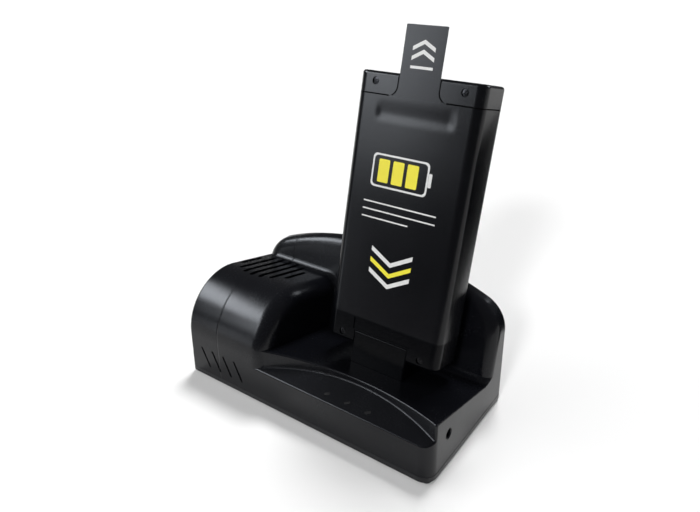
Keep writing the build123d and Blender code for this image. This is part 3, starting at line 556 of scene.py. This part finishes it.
def flatRing(bm, u, v, wide, high, corner, line):
    own = bmesh.new()
    flatBar(own, 0, 0, wide, high, corner)
    bmesh.ops.delete(own, geom=own.faces[:], context="FACES_ONLY")
    inner = vertsOf(bmesh.ops.extrude_edge_only(own, edges=own.edges[:])["geom"])
    bmesh.ops.scale(own, vec=(1 - 2 * line / wide, 1 - 2 * line / high, 1), verts=inner)
    bmesh.ops.translate(own, vec=(u, v, 0), verts=own.verts)
    addInto(bm, own)


# an arrow head of two bars that meet in the middle; a negative slope points it down
def flatArrow(bm, u, v, wide, high, slope):
    flatBar(bm, u - wide / 4, v, wide / 2, high, slope=slope)
    flatBar(bm, u + wide / 4, v, wide / 2, high, slope=-slope)


def addPrint():
    look = printLook
    slope, middle = look["slope"], look["middle"]
    place = packPlace @ Matrix.Translation((0, 0, look["lift"]))

    def labelArrow(bm, row):
        level = look["arrowsFrom"] - look["arrowStep"] * row
        flatArrow(bm, middle, level, look["arrowWide"], look["arrowHigh"], -slope)

    white = bmesh.new()
    flatRing(white, *look["signAt"], look["signWide"], look["signHigh"], look["signCorner"], look["signLine"])
    flatBar(white, *look["knobAt"], look["knobWide"], look["knobHigh"], look["knobCorner"])
    for row, wide in enumerate(look["rules"]):
        indent = (wide - look["rules"][0]) / 2
        flatBar(white, indent + middle, look["rulesFrom"] - look["ruleStep"] * row, wide, look["ruleLine"])
    for row in (0, 2):
        labelArrow(white, row)
    yellow = bmesh.new()
    for column in range(look["bars"]):
        across = look["barsFrom"] + look["barStep"] * column
        flatBar(yellow, across, look["signAt"][1], look["barWide"], look["barHigh"], look["barCorner"])
    labelArrow(yellow, 1)
    pull = bmesh.new()
    for row in range(2):
        flatArrow(pull, 0, look["pullFrom"] + look["pullStep"] * row, look["pullWide"], look["pullHigh"], slope)
    flatBar(pull, 0, look["pullRule"], look["pullWide"], look["pullLine"])
    for bm, name, body, slot, finish in ((white, "label_print_white", "pack", "label_film", "print_white"),
                                         (yellow, "label_print_yellow", "pack", "label_film", "print_yellow"),
                                         (pull, "tab_print", "tab", "tab_film", "print_white")):
        thicken(bm, look["thickness"])
        addPiece(bm, name, body, finish, place)


# screw heads with a cross recess: four in the pack's front, four under the case
screwLooks = dict(
    pack=dict(radius=0.0023, dome=0.00020, arm=0.0014, slot=0.00036, recess=0.0007, height=0.0004,
              shank=0.0011, length=0.006, taper=0.7, sides=32,
              across=(-0.030, 0.030), along=(0.0049, 0.1711), level=-0.0006, turn=0.5),
    case=dict(radius=0.0028, dome=0.00035, arm=0.0017, slot=0.00045, recess=0.0012, height=0.0020,
              shank=0.0015, length=0.0099, taper=0.7, sides=32,
              across=(-0.0966, 0.0966), along=(-0.049674, 0.043564), level=0.0016),
)


def crossHead(look):
    bm = bmesh.new()
    bmesh.ops.create_circle(bm, cap_ends=True, segments=look["sides"], radius=look["radius"])
    for axis in (Vector((1, 0, 0)), Vector((0, 1, 0))):
        for offset in (-look["arm"], -look["slot"], look["slot"], look["arm"]):
            everything = bm.verts[:] + bm.edges[:] + bm.faces[:]
            bmesh.ops.bisect_plane(bm, geom=everything, plane_co=axis * offset, plane_no=axis)

    def inCross(face):
        x, y = (abs(c) for c in face.calc_center_median()[:2])
        return min(x, y) < look["slot"] and max(x, y) < look["arm"]

    cross = [f for f in bm.faces if inCross(f)]
    floor = vertsOf(bmesh.ops.extrude_face_region(bm, geom=cross)["geom"])
    bmesh.ops.delete(bm, geom=[f for f in cross if f.is_valid], context="FACES_ONLY")
    bmesh.ops.translate(bm, vec=(0, 0, -look["recess"]), verts=floor)
    bmesh.ops.scale(bm, vec=(look["taper"], look["taper"], 1), verts=floor)
    rim = [e for e in bm.edges if e.is_boundary]
    for radius, level in ((look["radius"], -look["height"]), (look["shank"], -look["height"]),
                          (look["shank"], -look["height"] - look["length"])):
        made = bmesh.ops.extrude_edge_only(bm, edges=rim)["geom"]
        low = vertsOf(made)
        for v in low:
            flat = Vector((v.co.x, v.co.y, 0)).normalized() * radius
            v.co = (flat.x, flat.y, level)
        rim = [e for e in made if isinstance(e, bmesh.types.BMEdge) and all(v in low for v in e.verts)]
    bmesh.ops.contextual_create(bm, geom=rim)
    for v in bm.verts:
        out = math.hypot(v.co.x, v.co.y) / look["radius"]
        if v.co.z > -look["recess"] / 2:
            v.co.z -= look["dome"] * out * out
    return bm


def packScrewPlace(look, across, along):
    turn = (packPlace @ Matrix.Rotation(look["turn"], 4, "Z")).to_3x3().to_4x4()
    return Matrix.Translation(packPlace @ Vector((across, along, look["level"]))) @ turn


def caseScrewPlace(look, across, along):
    return Matrix.Translation((across, along, look["level"])) @ Matrix.Rotation(math.pi, 4, "X")


def addScrews():
    for name, body, slot, place in (("pack", "pack", "pack_screw_steel", packScrewPlace),
                                    ("case", "charger", "screw_steel", caseScrewPlace)):
        look = screwLooks[name]
        joined = bmesh.new()
        for across in look["across"]:
            for along in look["along"]:
                head = crossHead(look)
                bmesh.ops.transform(head, matrix=place(look, across, along), verts=head.verts)
                addInto(joined, head)
        screws = addPiece(joined, name + "_screw_heads", body, slot)
        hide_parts(name + "_screws")


addLabel()
addTab()
addGapShade()
addPrint()
addScrews()
print("label, tab, print and screws made")


# floor, light and camera
setting = dict(
    floorFront=-0.225, floorFar=9.0, floorHalf=8.0,
    floorColour=(0.80, 0.80, 0.80, 1.0), floorRough=0.9, floorGlow=0.04,
    ambient=0.12,
    keyFrom=(-0.676, -0.360, 0.643), keyAngle=50, keyPower=0.9,
    topFrom=(-0.09, 0.43, 0.90), topAngle=18, topPower=2.55,
    frontFrom=(0.13, -0.86, 0.49), frontAngle=10, frontPower=1.6,
    panelColour=(0.94, 0.99, 1.06),  # a slightly cool white
    aim=(0, 0, 0.08),
    boxPlace=(-0.857, -0.456, 0.785), boxSize=(0.86, 0.36), boxGlow=16.0,
    lowPlace=(-0.63, -0.78, -0.03), lowSize=(0.12, 0.25), lowGlow=3.2,
    backPlace=(0.72, 0.90, 0.80), backSize=(0.70, 0.50), backGlow=6.0,
    cardPlace=(0.135, 0.18, 0.093), cardSize=(0.24, 0.144),
    stripPlace=(-0.56, -0.83), stripWidth=0.30, stripLow=0.09, stripRamp=0.50, stripHigh=0.86, stripGlow=7.8,
    cameraPlace=(0.22446, -0.30976, 0.29422),
    cameraLook=(-0.51775, 0.73050, -0.44532),
    lens=32.869, sensorWidth=36.0, clipNear=0.01, clipFar=50,
)


# a plain matt material of the stage, and its shader
def stageMaterial(name, colour, glow):
    mat = bpy.data.materials.new(name)
    mat.use_nodes = True
    tree = mat.node_tree
    shader = tree.nodes["Principled BSDF"]
    shader.inputs["Base Color"].default_value = colour
    shader.inputs["Specular IOR Level"].default_value = 0.0
    shader.inputs["Emission Color"].default_value = (*glow, 1)
    return mat, tree, shader


def addFloor():
    bm = bmesh.new()
    reach = setting["floorFar"] - setting["floorFront"]
    made = flatSheet(bm, 2 * setting["floorHalf"], reach)
    bmesh.ops.translate(bm, vec=(0, setting["floorFront"] + reach / 2, 0), verts=made)
    mat, tree, shader = stageMaterial("floor_paper", setting["floorColour"], (1, 1, 1))
    shader.inputs["Roughness"].default_value = setting["floorRough"]
    ray = Wire(tree).make("ShaderNodeLightPath", None, None, "Is Camera Ray")
    glossy = Wire(tree, ray.socket.node.outputs["Is Glossy Ray"])
    through = Wire(tree, ray.socket.node.outputs["Is Transmission Ray"])
    seen = ray.math("MAXIMUM", ray, glossy.math("MAXIMUM", glossy, through))
    tree.links.new((seen * setting["floorGlow"]).socket, shader.inputs["Emission Strength"])
    newObject(bm, "floor", mat)


def addWorld():
    world = bpy.data.worlds.new("studio")
    bpy.context.scene.world = world
    world.use_nodes = True
    tree = world.node_tree
    back = tree.nodes["Background"]
    back.inputs["Color"].default_value = (1, 1, 1, 1)
    ray = Wire(tree).make("ShaderNodeLightPath", None, None, "Is Camera Ray")
    glow = setting["ambient"] + ray * (1 - setting["ambient"])
    tree.links.new(glow.socket, back.inputs["Strength"])


# the suns give the diffuse light, the panels give what the gloss shows
def addSun(name):
    light = bpy.data.lights.new(name, "SUN")
    light.energy = setting[name + "Power"]
    light.angle = math.radians(setting[name + "Angle"])
    sun = bpy.data.objects.new(name, light)
    sun.rotation_euler = (-Vector(setting[name + "From"])).to_track_quat("-Z", "Y").to_euler()
    sun.visible_glossy = False
    bpy.context.scene.collection.objects.link(sun)


def addPanel(name, place, size, aim, glow=0.0):
    bm = bmesh.new()
    made = flatSheet(bm, *size)
    turn = (Vector(aim) - Vector(place)).to_track_quat("Z", "Y").to_matrix().to_4x4()
    bmesh.ops.transform(bm, matrix=Matrix.Translation(place) @ turn, verts=made)
    mat, tree, shader = stageMaterial(name, (0, 0, 0, 1), setting["panelColour"])
    shader.inputs["Emission Strength"].default_value = glow
    panel = newObject(bm, name, mat)
    panel.visible_camera = False
    panel.visible_diffuse = False
    panel.visible_shadow = False
    return tree, shader


# a soft box high on the left, another behind, an upright strip and a low panel in front, a black card on the right
def addPanels():
    addPanel("light_box", setting["boxPlace"], setting["boxSize"], setting["aim"], setting["boxGlow"])
    low, high = setting["stripLow"], setting["stripHigh"]
    middle = (*setting["stripPlace"], (low + high) / 2)
    tree, shader = addPanel("light_strip", middle, (setting["stripWidth"], high - low), (0, 0, middle[2]))
    place = Wire(tree).make("ShaderNodeTexCoord", None, None, "Object")
    glow = place.along("Z").clear(low, setting["stripRamp"]) * setting["stripGlow"]
    tree.links.new(glow.socket, shader.inputs["Emission Strength"])
    addPanel("light_back", setting["backPlace"], setting["backSize"], setting["aim"], setting["backGlow"])
    level = (0, 0, setting["lowPlace"][2])
    addPanel("light_low", setting["lowPlace"], setting["lowSize"], level, setting["lowGlow"])
    x, y, z = setting["cardPlace"]
    addPanel("black_card", (x, y, z), setting["cardSize"], (0, y, z))


def addCamera():
    cam = bpy.data.cameras.new("camera")
    cam.sensor_fit = "HORIZONTAL"
    cam.sensor_width = setting["sensorWidth"]
    cam.lens = setting["lens"]
    cam.clip_start = setting["clipNear"]
    cam.clip_end = setting["clipFar"]
    eye = bpy.data.objects.new("camera", cam)
    eye.location = setting["cameraPlace"]
    eye.rotation_euler = Vector(setting["cameraLook"]).to_track_quat("-Z", "Y").to_euler()
    bpy.context.scene.collection.objects.link(eye)
    bpy.context.scene.camera = eye


addFloor()
addWorld()
for name in ("key", "top", "front"):
    addSun(name)
addPanels()
addCamera()
bpy.context.scene.view_settings.view_transform = "Standard"
print("floor, light and camera set")
